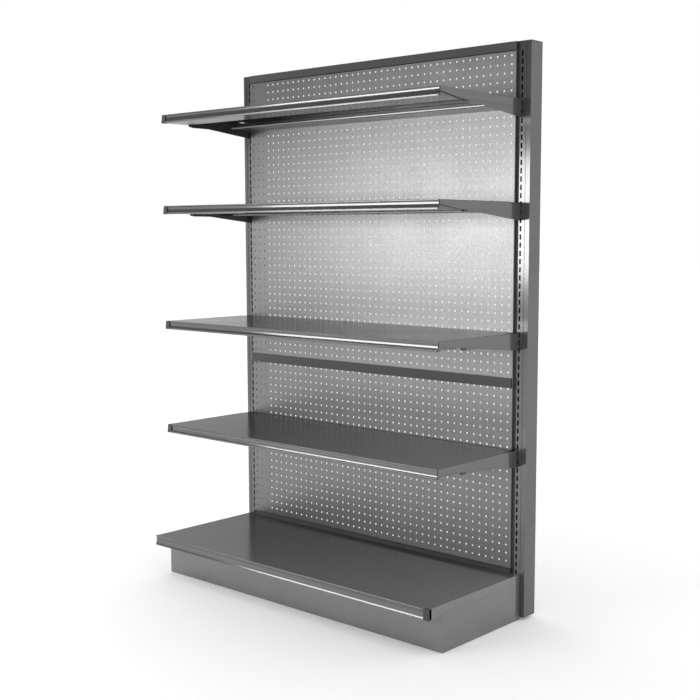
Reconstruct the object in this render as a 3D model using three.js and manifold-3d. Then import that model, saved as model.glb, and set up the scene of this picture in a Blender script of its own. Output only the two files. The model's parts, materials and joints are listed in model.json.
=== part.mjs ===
// One bay of single-sided steel gondola shelving: two slotted uprights on levelling feet,
// rails and perforated back panels between them, a base deck, and four shelves on hook-in arms.
// Millimetres. X runs across the bay, Y to the back and Z up. The origin is on the floor,
// at the centre of the bay's footprint.

import * as THREE from 'three';
import { mergeGeometries, mergeVertices } from 'three/addons/utils/BufferGeometryUtils.js';
import Module from 'manifold-3d';

const wasm = await Module();
wasm.setup();

// Driving dimensions of the bay
const uprightSpacing = 1178.6; // between the centres of the two slot columns
const overallHeight = 1744.5;
const slotPitch = 24.4;
const panelStandOff = 11.7; // from the uprights' front faces to the panels' front faces
const shelfDepth = 385.5;
const deckDepth = 437.8;
const deckTop = 143.7;

// Heights of the shelves' tops and of the centre rail's middle, as shares of the overall height
const shelfTopShares = [0.9047, 0.7313, 0.5081, 0.3031];
const centreRailShare = 0.4199;

// Clearances
const seatGap = 0.3; // between two pieces that rest on each other
const runningGap = 0.6; // beside an arm, where a shelf drops over it
const floorGap = 1; // under the plates that reach down to the floor
const overrun = 5; // how far a cutter runs past the face that it cuts

// Uprights
const uprightWidth = 62;
const uprightDepth = 58;
const uprightWall = 2;
const uprightFloorGap = 9;
const grooveWidth = 4;
const grooveDepth = 1;
const grooveOffset = 16; // from the slot column to the middle of each groove
const slotBase = 9.1; // from the floor up to where the pitch of the slots is counted from
const slotWidth = 6; // takes a hook of this bay and one of the next bay, side by side
const slotHeight = 15.5;
const slotEndMargin = 20; // plain tube left over the topmost slot
const bareSlotCount = 2; // places at the foot of the column that have no slot
const capThickness = 2.5;
const capPlugDepth = 12;
const capPlugWall = 2;

// Rails and back panels
const railSheet = 1.5;
const topRailHeight = 25.5;
const topRailDrop = 1; // below the top of the caps
const centreRailHeight = 30;
const centreRailProud = 5; // in front of the panels
const bottomRailHeight = 30;
const bottomRailRise = 12.8; // of its top, above the deck's top
const panelSheet = 1;
const panelLap = 17.2; // how far each panel's edge lies over an upright's front face
const railSetback = 1.5; // of the lower rails' ends, behind the panels' ends

// Shelves
const shelfSheet = 1;
const shelfRearGap = 6.5; // from the shelf's rear edge to the panel
const shelfFrontHeight = 28;
const topLipHeight = 3.5;
const bottomLipHeight = 6;
const bottomLipReach = 3.5; // in front of the shelf's top edge
const recessDepth = 5.2; // of the ticket channel, behind the shelf's top edge
const frontReturn = 14;
const rearFlange = 30.6;
const rearReturn = 104; // of the rear flange's lower edge, forwards under the shelf
const rearReturnInset = 24; // of the return's ends, from the ends of the flange
const rearHem = 5; // turned up at the return's front edge
const notchWidth = 14; // of the shelf's rear corners, cut away in front of the uprights
const notchLength = 36.5;
const sideFlangeFront = 12.5;
const sideFlangeRear = 25.5;
const sideTaperLength = 98;
const stiffenerDepth = 104.5; // from the shelf's top edge back to the stiffener's web
const stiffenerFlange = 12;

// Arms that carry the shelves
const armThickness = 2.4;
const armInset = 1.4; // from the middle of the slots to the middle of the arm, towards the bay
const armRearDrop = 54; // of its lower edge at the upright, below its upper edge
const armHeel = 1.5; // least height of the arm below its lowest hook
const armMidDrop = 33; // of its level lower edge, below its upper edge
const armSlopeLength = 185;
const armLevelLength = 76;
const armNeckHeight = 7;
const armTailDrop = 5;
const armTailThickness = 5;
const armTailGap = 0.5; // between the tail and the back of the upright's wall
const armNoseGap = 2; // from the shelf's front return to the arm's nose
const armTuck = 1.5; // of the nose's lower edge, above the side flange's
const armHookCount = 2;

// Ticket strips
const stripSheet = 0.8;
const stripCurve = 46; // radius of the hollow face
const stripCurveDrop = 11.2; // from the shelf's top down to the deepest line of the face
const stripSegments = 6;
const stripEndGap = 19; // open channel at one end of each shelf

// Base
const deckSheet = 1.2;
const deckRearGap = 0.5;
const deckFrontHeight = 33;
const deckLipHeight = 2.5;
const deckRearFlange = 25;
const deckRearReturn = 12;
const deckSideFlange = 30;
const deckOverhang = 14.5; // of the deck's end, past the outer face of a base arm
const endPanelSheet = 1.2;
const kickSetback = 64.7; // of the kick plate, behind the deck's front
const kickSheet = 1.2;
const kickTopReturn = 20;
const kickBottomReturn = 15;
const kickTopGap = 0.9; // under the deck
const deckStiffenerDepth = 60;
const deckStiffenerHeight = 24;
const deckStiffenerSetback = 190;
const baseArmBottom = 28;
const baseArmSlots = [5, 3];
const shoeSetback = 21; // of the foot's shoe, behind the base arm's front edge
const shoeLength = 50;
const shoeWidth = 34;
const shoeThickness = 3;

// Levelling feet
const footPadRadius = 16;
const footPadHeight = 7;
const footPadRim = 3;
const footStudRadius = 5;
const footStudLength = 46; // above the pad
const footThreadGap = 0.3;
const footNutHeight = 8;
const footNutRadius = 10;
const footPlateThickness = 3;
const footSegments = 12;

// Places that follow from the driving dimensions. The panels' front face is at zero depth.
const uprightX = uprightSpacing / 2;
const uprightFront = panelStandOff;
const uprightBack = uprightFront + uprightDepth;
const tubeTop = overallHeight - capThickness;
const lastSlot = Math.floor((tubeTop - slotEndMargin - slotBase) / slotPitch);
const panelHalf = uprightX - uprightWidth / 2 + panelLap;
const armX = uprightX - armInset;
const armOuter = armX + armThickness / 2;
const armInner = armX - armThickness / 2;
const betweenArms = armInner - runningGap;
const shelfHalf = armOuter + runningGap + shelfSheet;
const shelfFront = -shelfDepth;
const shelfRear = -shelfRearGap;
const deckFront = -deckDepth;
const deckRear = -deckRearGap;
const deckHalf = armOuter + deckOverhang + deckSheet;
const endPanelTop = deckTop - deckSideFlange - seatGap;
const kickFront = deckFront + kickSetback;
const kickBack = kickFront + kickSheet;
const baseArmFront = kickBack + seatGap;
const baseArmTop = deckTop - deckSheet - seatGap;
const seatPlane = uprightFront - seatGap;

const slotTop = (slot) => slotBase + slot * slotPitch;
const shelfTops = shelfTopShares.map((share) => share * overallHeight);
const centreRailMiddle = centreRailShare * overallHeight;

// The highest slot whose hook lies under an arm's upper edge
const hookAboveSlot = slotHeight - seatGap - armNeckHeight;
const slotUnder = (upper) => Math.floor((upper + hookAboveSlot - slotBase) / slotPitch);

// Paint and metal finishes
const paint = (name, color, roughness) =>
  new THREE.MeshStandardMaterial({ name, color, roughness, metalness: 0 });
const finishes = {
  frame: () => paint('frame grey enamel', 0x6f7072, 0.3),
  panel: () => paint('panel grey enamel', 0xa4a5a6, 0.42),
  rail: () => paint('rail grey enamel', 0x5c5d5f, 0.35),
  shelf: () => paint('shelf grey enamel', 0x737476, 0.3),
  strip: () => paint('strip grey enamel', 0x97989a, 0.25),
  base: () => paint('base grey enamel', 0x7a7b7d, 0.35),
  cap: () => paint('cap black plastic', 0x3a3b3c, 0.5),
  foot: () => new THREE.MeshStandardMaterial({
    name: 'zinc plate', color: 0xb4b6b8, roughness: 0.35, metalness: 0.9,
  }),
};

// Solids: closed three.js geometries are joined and cut as manifolds
function solidOf(geometry) {
  const bare = geometry.clone();
  bare.deleteAttribute('normal');
  bare.deleteAttribute('uv');
  const welded = mergeVertices(bare);
  return new wasm.Manifold(new wasm.Mesh({
    numProp: 3,
    vertProperties: new Float32Array(welded.attributes.position.array),
    triVerts: new Uint32Array(welded.index.array),
  }));
}

function geometryOf(solid) {
  const mesh = solid.getMesh();
  const geometry = new THREE.BufferGeometry();
  geometry.setAttribute('position', new THREE.BufferAttribute(mesh.vertProperties, 3));
  geometry.setIndex(new THREE.BufferAttribute(mesh.triVerts, 1));
  geometry.computeVertexNormals();
  return geometry;
}

function join(...geometries) {
  return geometryOf(geometries.map(solidOf).reduce((whole, piece) => whole.add(piece)));
}

function cut(geometry, ...cutters) {
  return geometryOf(cutters.map(solidOf).reduce((left, cutter) => left.subtract(cutter), solidOf(geometry)));
}

// A box between two limits on each axis
function block([x0, x1], [y0, y1], [z0, z1]) {
  const geometry = new THREE.BoxGeometry(Math.abs(x1 - x0), y1 - y0, z1 - z0);
  return geometry.translate((x0 + x1) / 2, (y0 + y1) / 2, (z0 + z1) / 2);
}

// Extrusions of a section along each axis. The section's first axis is Y along X, and X otherwise.
function along(section, [start, end], xAxis, yAxis, zAxis) {
  const geometry = new THREE.ExtrudeGeometry(section, {
    depth: end - start,
    bevelEnabled: false,
    curveSegments: footSegments,
  });
  geometry.translate(0, 0, start);
  return geometry.applyMatrix4(new THREE.Matrix4().makeBasis(xAxis, yAxis, zAxis));
}

const unitX = new THREE.Vector3(1, 0, 0);
const unitY = new THREE.Vector3(0, 1, 0);
const unitZ = new THREE.Vector3(0, 0, 1);
const alongX = (section, span) => along(section, span, unitY, unitZ, unitX);
const alongZ = (section, span) => along(section, span, unitX, unitY, unitZ);
// Along Y the extrusion runs towards the front, so its span is turned round
const alongY = (section, [start, end]) =>
  along(section, [-end, -start], unitX, unitZ, unitY.clone().negate());

const outline = (points) => new THREE.Shape(points.map(([a, b]) => new THREE.Vector2(a, b)));

// Section of a sheet bent along a path. The path is its outer face, and the sheet lies on the left.
function bentSheet(path, thickness) {
  const points = path.map(([a, b]) => new THREE.Vector2(a, b));
  const normals = points.slice(1).map((point, i) => {
    const run = point.clone().sub(points[i]).normalize();
    return new THREE.Vector2(-run.y, run.x);
  });
  const inner = points.map((point, i) => {
    const before = normals[Math.max(i - 1, 0)];
    const after = normals[Math.min(i, normals.length - 1)];
    const mitre = before.clone().add(after).normalize();
    return point.clone().addScaledVector(mitre, thickness / mitre.dot(after));
  });
  return new THREE.Shape([...points, ...inner.reverse()]);
}

// Points on an arc about a centre, with the angles in radians
function arc([a, b], radius, from, to, segments) {
  return Array.from({ length: segments + 1 }, (_, i) => {
    const angle = from + ((to - from) * i) / segments;
    return [a + radius * Math.cos(angle), b + radius * Math.sin(angle)];
  });
}

// Rear edge of an arm, from the top down, with a hook through the upright's wall at each slot
function hookEdge(slotTops) {
  const tailFront = uprightFront + uprightWall + armTailGap;
  const tailBack = tailFront + armTailThickness;
  return slotTops.flatMap((top) => {
    const neckBottom = top - slotHeight + seatGap;
    const neckTop = neckBottom + armNeckHeight;
    return [
      [seatPlane, neckTop],
      [tailBack, neckTop],
      [tailBack, neckBottom - armTailDrop],
      [tailFront, neckBottom - armTailDrop],
      [tailFront, neckBottom],
      [seatPlane, neckBottom],
    ];
  });
}

// Slotted tube, with a shallow groove on each side of its column of slots
function upright() {
  const halfWidth = uprightWidth / 2;
  const halfGroove = grooveWidth / 2;
  const grooveFloor = uprightFront + grooveDepth;
  const groove = (middle) => [
    [middle - halfGroove, uprightFront],
    [middle - halfGroove, grooveFloor],
    [middle + halfGroove, grooveFloor],
    [middle + halfGroove, uprightFront],
  ];
  const section = outline([
    [-halfWidth, uprightFront],
    ...groove(-grooveOffset),
    ...groove(grooveOffset),
    [halfWidth, uprightFront],
    [halfWidth, uprightBack],
    [-halfWidth, uprightBack],
  ]);
  const innerHalf = halfWidth - uprightWall;
  section.holes.push(outline([
    [-innerHalf, uprightFront + uprightWall],
    [-innerHalf, uprightBack - uprightWall],
    [innerHalf, uprightBack - uprightWall],
    [innerHalf, uprightFront + uprightWall],
  ]));
  const tube = alongZ(section, [uprightFloorGap, tubeTop]);
  const slots = [];
  for (let slot = bareSlotCount; slot <= lastSlot; slot++) {
    slots.push(block(
      [-slotWidth / 2, slotWidth / 2],
      [uprightFront - overrun, uprightFront + uprightWall + overrun],
      [slotTop(slot) - slotHeight, slotTop(slot)],
    ));
  }
  return cut(tube, mergeGeometries(slots));
}

// Cap with a hollow plug that drops into the tube
function uprightCap() {
  const halfWidth = uprightWidth / 2;
  const plugHalf = halfWidth - uprightWall - seatGap;
  const plugFront = uprightFront + uprightWall + seatGap;
  const plugBack = uprightBack - uprightWall - seatGap;
  const plugBottom = tubeTop - capPlugDepth;
  const lid = block([-halfWidth, halfWidth], [uprightFront, uprightBack], [tubeTop + seatGap, overallHeight]);
  const plug = block([-plugHalf, plugHalf], [plugFront, plugBack], [plugBottom, overallHeight - seatGap]);
  const hollow = block(
    [-plugHalf + capPlugWall, plugHalf - capPlugWall],
    [plugFront + capPlugWall, plugBack - capPlugWall],
    [plugBottom - overrun, tubeTop],
  );
  return cut(join(lid, plug), hollow);
}

// Plate in the foot of the tube, with a threaded hole for the levelling foot
function studHole(x, y) {
  return new THREE.Path().absarc(x, y, footStudRadius + footThreadGap, 0, 2 * Math.PI, true);
}

const uprightFootY = (uprightFront + uprightBack) / 2;

function uprightFootPlate() {
  const half = uprightWidth / 2 - uprightWall - seatGap;
  const front = uprightFront + uprightWall + seatGap;
  const back = uprightBack - uprightWall - seatGap;
  const section = outline([[-half, front], [half, front], [half, back], [-half, back]]);
  section.holes.push(studHole(0, uprightFootY));
  return alongZ(section, [uprightFloorGap, uprightFloorGap + footPlateThickness]);
}

// Hexagonal nut round a levelling foot's stud, standing on the given height
function footNut(bottom) {
  const section = outline(arc([0, 0], footNutRadius, 0, (5 * Math.PI) / 3, 5));
  section.holes.push(studHole(0, 0));
  return alongZ(section, [bottom + seatGap, bottom + seatGap + footNutHeight]);
}

// Pad and threaded stud of a levelling foot
function levellingFoot() {
  const profile = [
    [0, 0],
    [footPadRadius, 0],
    [footPadRadius, footPadRim],
    [footStudRadius, footPadHeight],
    [footStudRadius, footPadHeight + footStudLength],
    [0, footPadHeight + footStudLength],
  ].map(([radius, height]) => new THREE.Vector2(radius, height));
  return new THREE.LatheGeometry(profile, footSegments).rotateX(Math.PI / 2);
}

// Channel rail, open to the back, between a front face and the plane of what it lies against
function rail(half, front, back, [bottom, top]) {
  const section = bentSheet([
    [back, top],
    [front, top],
    [front, bottom],
    [back, bottom],
  ], railSheet);
  return alongX(section, [-half, half]);
}

const topRailSpan = [overallHeight - topRailDrop - topRailHeight, overallHeight - topRailDrop];
const centreRailSpan = [
  centreRailMiddle - centreRailHeight / 2,
  centreRailMiddle + centreRailHeight / 2,
];
const bottomRailSpan = [deckTop + bottomRailRise - bottomRailHeight, deckTop + bottomRailRise];

// Back panel: a sheet with its four edges turned back against the uprights
function backPanel(bottom, top) {
  const shell = block([-panelHalf, panelHalf], [0, seatPlane], [bottom, top]);
  const hollow = block(
    [-panelHalf + panelSheet, panelHalf - panelSheet],
    [panelSheet, seatPlane + overrun],
    [bottom + panelSheet, top - panelSheet],
  );
  return cut(shell, hollow);
}

// Front edge shared by the shelves and the deck: a top lip, a ticket channel and a bottom lip.
// The path runs from the top edge down, and ends on the return under the channel.
function frontEdge(front, top, height, lipHeight, lipReach) {
  return [
    [front, top],
    [front, top - topLipHeight],
    [front + recessDepth, top - topLipHeight],
    [front + recessDepth, top - height + lipHeight],
    [front - lipReach, top - height + lipHeight],
    [front - lipReach, top - height],
    [front + frontReturn, top - height],
  ];
}

// Rear flange turned down between the arms, with a short return at its foot
function rearEdge(rear, top, flange, sheet) {
  return bentSheet([
    [rear - deckRearReturn, top - flange],
    [rear, top - flange],
    [rear, top],
    [rear - deckRearReturn, top],
  ], sheet);
}

// Shelf tray: its top sheet and front edge, rear flange and tapered side flanges. The rear
// flange has a long return under the tray, with a hem turned up at its front edge.
function shelf(top) {
  const tray = bentSheet([
    [shelfRear, top],
    ...frontEdge(shelfFront, top, shelfFrontHeight, bottomLipHeight, bottomLipReach),
  ], shelfSheet);
  const rearHalf = shelfHalf - notchWidth;
  const hemHalf = rearHalf - rearReturnInset;
  const pan = bentSheet([
    [shelfRear - rearReturn, top - rearFlange + rearHem],
    [shelfRear - rearReturn, top - rearFlange],
    [shelfRear, top - rearFlange],
    [shelfRear, top],
    [shelfRear - deckRearReturn, top],
  ], shelfSheet);
  const flangeFront = shelfFront + recessDepth;
  const side = outline([
    [flangeFront, top],
    [flangeFront, top - sideFlangeFront],
    [shelfFront + sideTaperLength, top - sideFlangeRear],
    [shelfRear - notchLength, top - sideFlangeRear],
    [shelfRear - notchLength, top],
  ]);
  const folded = join(
    alongX(tray, [-shelfHalf, shelfHalf]),
    alongX(pan, [-hemHalf, hemHalf]),
    alongX(rearEdge(shelfRear, top, rearFlange, shelfSheet), [-rearHalf, rearHalf]),
    alongX(side, [-shelfHalf, -shelfHalf + shelfSheet]),
    alongX(side, [shelfHalf - shelfSheet, shelfHalf]),
  );
  const corner = (side) => block(
    spanOn(side, rearHalf, shelfHalf + overrun),
    [shelfRear - notchLength, shelfRear + overrun],
    [top - overrun, top + overrun],
  );
  return cut(folded, mergeGeometries([corner(-1), corner(1)]));
}

// Closed-ended pan under the front of a shelf that stops its edge from bending
function shelfStiffener(top) {
  const underside = top - shelfSheet - seatGap;
  const web = shelfFront + stiffenerDepth;
  const floor = top - shelfFrontHeight + shelfSheet + seatGap;
  const front = shelfFront + recessDepth + shelfSheet + seatGap;
  const section = bentSheet([
    [front, floor],
    [web, floor],
    [web, underside - shelfSheet],
    [web + stiffenerFlange, underside - shelfSheet],
  ], shelfSheet);
  const end = outline([[front, floor], [web, floor], [web, underside], [front, underside]]);
  return join(
    alongX(section, [-betweenArms, betweenArms]),
    alongX(end, [-betweenArms, -betweenArms + shelfSheet]),
    alongX(end, [betweenArms - shelfSheet, betweenArms]),
  );
}

// Arm that carries one end of a shelf
function shelfArm(top) {
  const upper = top - shelfSheet - seatGap;
  const level = upper - armMidDrop;
  const slopeEnd = -armSlopeLength;
  const notch = slopeEnd - armLevelLength;
  const nose = shelfFront + frontReturn + armNoseGap;
  const highest = slotUnder(upper);
  const slots = Array.from({ length: armHookCount }, (_, i) => slotTop(highest - i));
  const lowestHook = slots[slots.length - 1] - slotHeight + seatGap;
  const rearBottom = Math.min(upper - armRearDrop, lowestHook - armHeel);
  const section = outline([
    [nose, upper],
    [nose, top - sideFlangeFront + armTuck],
    [notch, top - sideFlangeRear + armTuck],
    [notch, level],
    [slopeEnd, level],
    [seatPlane, rearBottom],
    ...hookEdge(slots).reverse(),
    [seatPlane, upper],
  ]);
  return alongX(section, [-armThickness / 2, armThickness / 2]);
}

// Ticket strip: a hollow face between two edges turned back, lying in the channel of a front edge
function ticketStrip(front, top, height, lipHeight, [start, end]) {
  const back = front + recessDepth - seatGap;
  const face = front + seatGap;
  const upper = top - topLipHeight - seatGap;
  const lower = top - height + lipHeight + seatGap;
  const axis = top - stripCurveDrop;
  const upperAngle = Math.asin((upper - axis) / stripCurve);
  const lowerAngle = Math.asin((lower - axis) / stripCurve);
  const axisY = face - stripCurve * Math.cos(lowerAngle);
  const path = [
    [back, upper],
    ...arc([axisY, axis], stripCurve, upperAngle, lowerAngle, stripSegments),
    [back, lower],
  ];
  return alongX(bentSheet(path, stripSheet), [start, end]);
}

// Base deck: a deeper tray over the base arms
function baseDeck() {
  const tray = bentSheet([
    [deckRear, deckTop],
    ...frontEdge(deckFront, deckTop, deckFrontHeight, deckLipHeight, 0),
  ], deckSheet);
  const side = outline([
    [deckFront + recessDepth, deckTop],
    [deckFront + recessDepth, deckTop - deckSideFlange],
    [deckRear, deckTop - deckSideFlange],
    [deckRear, deckTop],
  ]);
  return join(
    alongX(tray, [-deckHalf, deckHalf]),
    alongX(rearEdge(deckRear, deckTop, deckRearFlange, deckSheet), [-betweenArms, betweenArms]),
    alongX(side, [-deckHalf, -deckHalf + deckSheet]),
    alongX(side, [deckHalf - deckSheet, deckHalf]),
  );
}

// Hat-shaped rib under the middle of the deck
function deckStiffener() {
  const underside = deckTop - deckSheet - seatGap;
  const front = deckFront + deckStiffenerSetback;
  const back = front + deckStiffenerDepth;
  const section = bentSheet([
    [front - stiffenerFlange, underside - deckSheet],
    [front, underside - deckSheet],
    [front, underside - deckStiffenerHeight],
    [back, underside - deckStiffenerHeight],
    [back, underside - deckSheet],
    [back + stiffenerFlange, underside - deckSheet],
  ], deckSheet);
  return alongX(section, [-betweenArms, betweenArms]);
}

// Kick plate: a face across the whole base, with returns between the base arms
function kickPlate() {
  const top = deckTop - deckSheet - kickTopGap;
  const faceTop = deckTop - deckSideFlange - kickTopGap;
  const face = block([-deckHalf, deckHalf], [kickFront, kickBack], [floorGap, faceTop]);
  const channel = bentSheet([
    [kickFront + kickTopReturn, top],
    [kickFront, top],
    [kickFront, floorGap],
    [kickFront + kickBottomReturn, floorGap],
  ], kickSheet);
  return join(face, alongX(channel, [-betweenArms, betweenArms]));
}

// Pieces that differ by hand take the side: -1 on the left and 1 on the right
const spanOn = (side, inner, outer) => [side * inner, side * outer].sort((a, b) => a - b);

const shoeFront = baseArmFront + shoeSetback;
const shoeMiddle = shoeFront + shoeLength / 2;
const shoeStudX = armInner - shoeWidth / 2;

// Base arm: a plate hooked into the upright, with a shoe for the front levelling foot
function baseArm(side) {
  const plate = outline([
    [baseArmFront, baseArmTop],
    [baseArmFront, baseArmBottom],
    [seatPlane, baseArmBottom],
    ...hookEdge(baseArmSlots.map(slotTop)).reverse(),
    [seatPlane, baseArmTop],
  ]);
  const [x0, x1] = spanOn(side, armInner - shoeWidth, armOuter);
  const shoe = outline([
    [x0, shoeFront],
    [x1, shoeFront],
    [x1, shoeFront + shoeLength],
    [x0, shoeFront + shoeLength],
  ]);
  shoe.holes.push(studHole(side * shoeStudX, shoeMiddle));
  return join(
    alongX(plate, spanOn(side, armInner, armOuter)),
    alongZ(shoe, [baseArmBottom, baseArmBottom + shoeThickness]),
  );
}

// End panel that closes the side of the base under the deck's flange, in one plane with it,
// with returns that bear on the base arm
function baseEndPanel(side) {
  const inner = armOuter + seatGap;
  const path = [
    [side * inner, endPanelTop],
    [side * deckHalf, endPanelTop],
    [side * deckHalf, floorGap],
    [side * inner, floorGap],
  ];
  return alongY(bentSheet(path, -side * endPanelSheet), [baseArmFront, seatPlane]);
}

// The bay, with each piece as its own named mesh
const bay = new THREE.Group();

function addPiece(name, geometry, finish, [x, y, z] = [0, 0, 0]) {
  const piece = new THREE.Mesh(geometry, finish());
  piece.name = name;
  piece.position.set(x, y, z);
  bay.add(piece);
}

const sides = [['left', -1], ['right', 1]];

for (const [hand, side] of sides) {
  const columnX = side * uprightX;
  addPiece(`${hand}_upright`, upright(), finishes.frame, [columnX, 0, 0]);
  addPiece(`${hand}_upright_cap`, uprightCap(), finishes.cap, [columnX, 0, 0]);
  addPiece(`${hand}_foot_plate`, uprightFootPlate(), finishes.frame, [columnX, 0, 0]);
  addPiece(`${hand}_base_arm`, baseArm(side), finishes.frame);
  addPiece(`${hand}_base_end_panel`, baseEndPanel(side), finishes.base);

  const rearNut = footNut(uprightFloorGap + footPlateThickness);
  const frontNut = footNut(baseArmBottom + shoeThickness);
  const rearFoot = [columnX, uprightFootY, 0];
  const frontFoot = [side * shoeStudX, shoeMiddle, 0];
  addPiece(`${hand}_rear_foot_nut`, rearNut, finishes.foot, rearFoot);
  addPiece(`${hand}_rear_foot`, levellingFoot(), finishes.foot, rearFoot);
  addPiece(`${hand}_front_foot_nut`, frontNut, finishes.foot, frontFoot);
  addPiece(`${hand}_front_foot`, levellingFoot(), finishes.foot, frontFoot);
}

// The centre rail covers the joint of the two panels, and the other rails stand in their plane
const lowerRailHalf = panelHalf - railSetback;
const coverRail = rail(lowerRailHalf, -centreRailProud, -seatGap, centreRailSpan);
addPiece('top_rail', rail(panelHalf, 0, seatPlane, topRailSpan), finishes.rail);
addPiece('centre_rail', coverRail, finishes.rail);
addPiece('bottom_rail', rail(lowerRailHalf, 0, seatPlane, bottomRailSpan), finishes.rail);
const upperPanel = backPanel(centreRailMiddle + seatGap / 2, topRailSpan[0] - seatGap);
const lowerPanel = backPanel(bottomRailSpan[1] + seatGap, centreRailMiddle - seatGap / 2);
addPiece('upper_back_panel', upperPanel, finishes.panel);
addPiece('lower_back_panel', lowerPanel, finishes.panel);

const shelfStripSpan = [-shelfHalf + stripEndGap, shelfHalf];
shelfTops.forEach((top, i) => {
  const name = `shelf_${i + 1}`;
  const strip = ticketStrip(shelfFront, top, shelfFrontHeight, bottomLipHeight, shelfStripSpan);
  addPiece(name, shelf(top), finishes.shelf);
  addPiece(`${name}_stiffener`, shelfStiffener(top), finishes.shelf);
  addPiece(`${name}_strip`, strip, finishes.strip);
  for (const [hand, side] of sides) {
    addPiece(`${name}_${hand}_arm`, shelfArm(top), finishes.frame, [side * armX, 0, 0]);
  }
});

const deckStripSpan = [-deckHalf, deckHalf - stripEndGap];
const deckStrip = ticketStrip(deckFront, deckTop, deckFrontHeight, deckLipHeight, deckStripSpan);
addPiece('base_deck', baseDeck(), finishes.base);
addPiece('base_deck_stiffener', deckStiffener(), finishes.base);
addPiece('base_deck_strip', deckStrip, finishes.strip);
addPiece('kick_plate', kickPlate(), finishes.base);

// The footprint's centre is moved to the origin
bay.position.y = -(deckFront + uprightBack) / 2;

export default bay;
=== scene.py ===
# %% [markdown]
# # One bay of gondola shelving
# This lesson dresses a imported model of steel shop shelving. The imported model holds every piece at
# its real size and place, and each piece made here is fitted to the box of a packed one. What this
# script adds is finish: punched back panels, folded edges, enamel, light and a camera.

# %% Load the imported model
import json
import math

import bmesh
import bpy
from mathutils import Matrix, Vector


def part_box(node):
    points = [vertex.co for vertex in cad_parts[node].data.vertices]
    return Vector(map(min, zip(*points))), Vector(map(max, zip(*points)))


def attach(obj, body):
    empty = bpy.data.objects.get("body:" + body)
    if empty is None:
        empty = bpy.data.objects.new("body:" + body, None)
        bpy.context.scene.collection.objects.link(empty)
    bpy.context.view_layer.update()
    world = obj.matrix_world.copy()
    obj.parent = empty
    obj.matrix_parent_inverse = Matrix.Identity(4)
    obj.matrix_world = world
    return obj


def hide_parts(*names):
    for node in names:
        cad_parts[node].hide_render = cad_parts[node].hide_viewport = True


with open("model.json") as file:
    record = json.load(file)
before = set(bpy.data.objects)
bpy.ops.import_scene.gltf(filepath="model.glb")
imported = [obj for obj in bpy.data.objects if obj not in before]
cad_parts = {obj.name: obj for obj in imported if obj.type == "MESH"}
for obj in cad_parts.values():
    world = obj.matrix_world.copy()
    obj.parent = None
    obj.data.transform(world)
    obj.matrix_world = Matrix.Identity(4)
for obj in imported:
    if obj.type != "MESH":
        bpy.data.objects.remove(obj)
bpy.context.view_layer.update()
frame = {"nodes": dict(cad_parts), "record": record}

nodes = frame["nodes"]
MM = 0.001

# %% [markdown]
# ## Two small helpers
# Paint colours are easiest to think about as the hex values of a picture, but a shader wants linear
# light, so one function turns one into the other. A second adds a shader or geometry node and fills
# in its sockets: a socket given as a value is joined by a link, and anything else is set.

# %% Colour and node helpers
def colour(hex_value):
    """Linear RGBA of an sRGB hex colour such as "7f7f7f"."""
    channels = [int(hex_value[i:i + 2], 16) / 255 for i in (0, 2, 4)]
    linear = [c / 12.92 if c <= 0.04045 else ((c + 0.055) / 1.055) ** 2.4 for c in channels]
    return (*linear, 1.0)


def add_node(tree, kind, sockets=None, **settings):
    """A new node with its settings, and its input sockets linked or set."""
    node = tree.nodes.new(kind)
    for name, value in settings.items():
        setattr(node, name, value)
    for key, value in (sockets or {}).items():
        if isinstance(value, bpy.types.NodeSocket):
            tree.links.new(value, node.inputs[key])
        else:
            node.inputs[key].default_value = value
    return node


print("mid grey is", [round(c, 3) for c in colour("7f7f7f")[:3]])

# %% [markdown]
# ## The camera
# The photograph was taken from the right of the bay, at two thirds of its height. The camera stands
# where the lines of peg holes say that it stood, so that the render and the photograph can be laid
# over each other. The lens doesn't look through the middle of the picture, because the picture was
# cropped. A shift of the lens does the same here.

# %% Place the camera
PHOTO_SIDE = 700  # pixels
FOCAL_PIXELS = 1145.8
CENTRE_PIXEL = (380.3, 357.7)  # where the lens's axis meets the picture
SENSOR = 36.0  # mm
CAMERA_PLACE = Vector((2.5334, -2.6652, 1.1813))
CAMERA_LOOK = Vector((-0.65391, 0.74892, -0.10734))

camera_data = bpy.data.cameras.new("camera")
camera_data.sensor_width = SENSOR
camera_data.lens = FOCAL_PIXELS * SENSOR / PHOTO_SIDE
camera_data.shift_x = (PHOTO_SIDE / 2 - CENTRE_PIXEL[0]) / PHOTO_SIDE
camera_data.shift_y = (CENTRE_PIXEL[1] - PHOTO_SIDE / 2) / PHOTO_SIDE
camera = bpy.data.objects.new("camera", camera_data)
camera.location = CAMERA_PLACE
camera.rotation_euler = CAMERA_LOOK.to_track_quat("-Z", "Y").to_euler()
bpy.context.scene.collection.objects.link(camera)
bpy.context.scene.camera = camera
print("lens", round(camera_data.lens, 2), "mm")

# %% [markdown]
# ## Floor, world and cloth
# A product photograph on white needs a white room, white paper on the floor and one soft box. The
# world is an even white here. The paper looks a little brighter to the camera and in reflections than
# its light on the bay, as overexposed paper does, and it keeps the bay's soft shadow. A black cloth
# hangs high up in front of the bay: what stands upright above about 1.5 m mirrors it and gets darker.

# %% Lay the floor and hang the cloth
scene = bpy.context.scene
scene.view_settings.view_transform = "Standard"

FLOOR_HALF = 30.0  # metres from the middle to the floor's edge


def plane(name, corners):
    """A flat quadrilateral, for the floor and the studio's cloth."""
    mesh = bpy.data.meshes.new(name)
    mesh.from_pydata(corners, [], [(0, 1, 2, 3)])
    holder = bpy.data.objects.new(name, mesh)
    scene.collection.objects.link(holder)
    return holder


def matt(name, hex_value, roughness):
    """A plain matt surface of the studio."""
    material = bpy.data.materials.new(name)
    material.use_nodes = True
    shader = material.node_tree.nodes["Principled BSDF"]
    shader.inputs["Base Color"].default_value = colour(hex_value)
    shader.inputs["Roughness"].default_value = roughness
    return material


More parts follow.
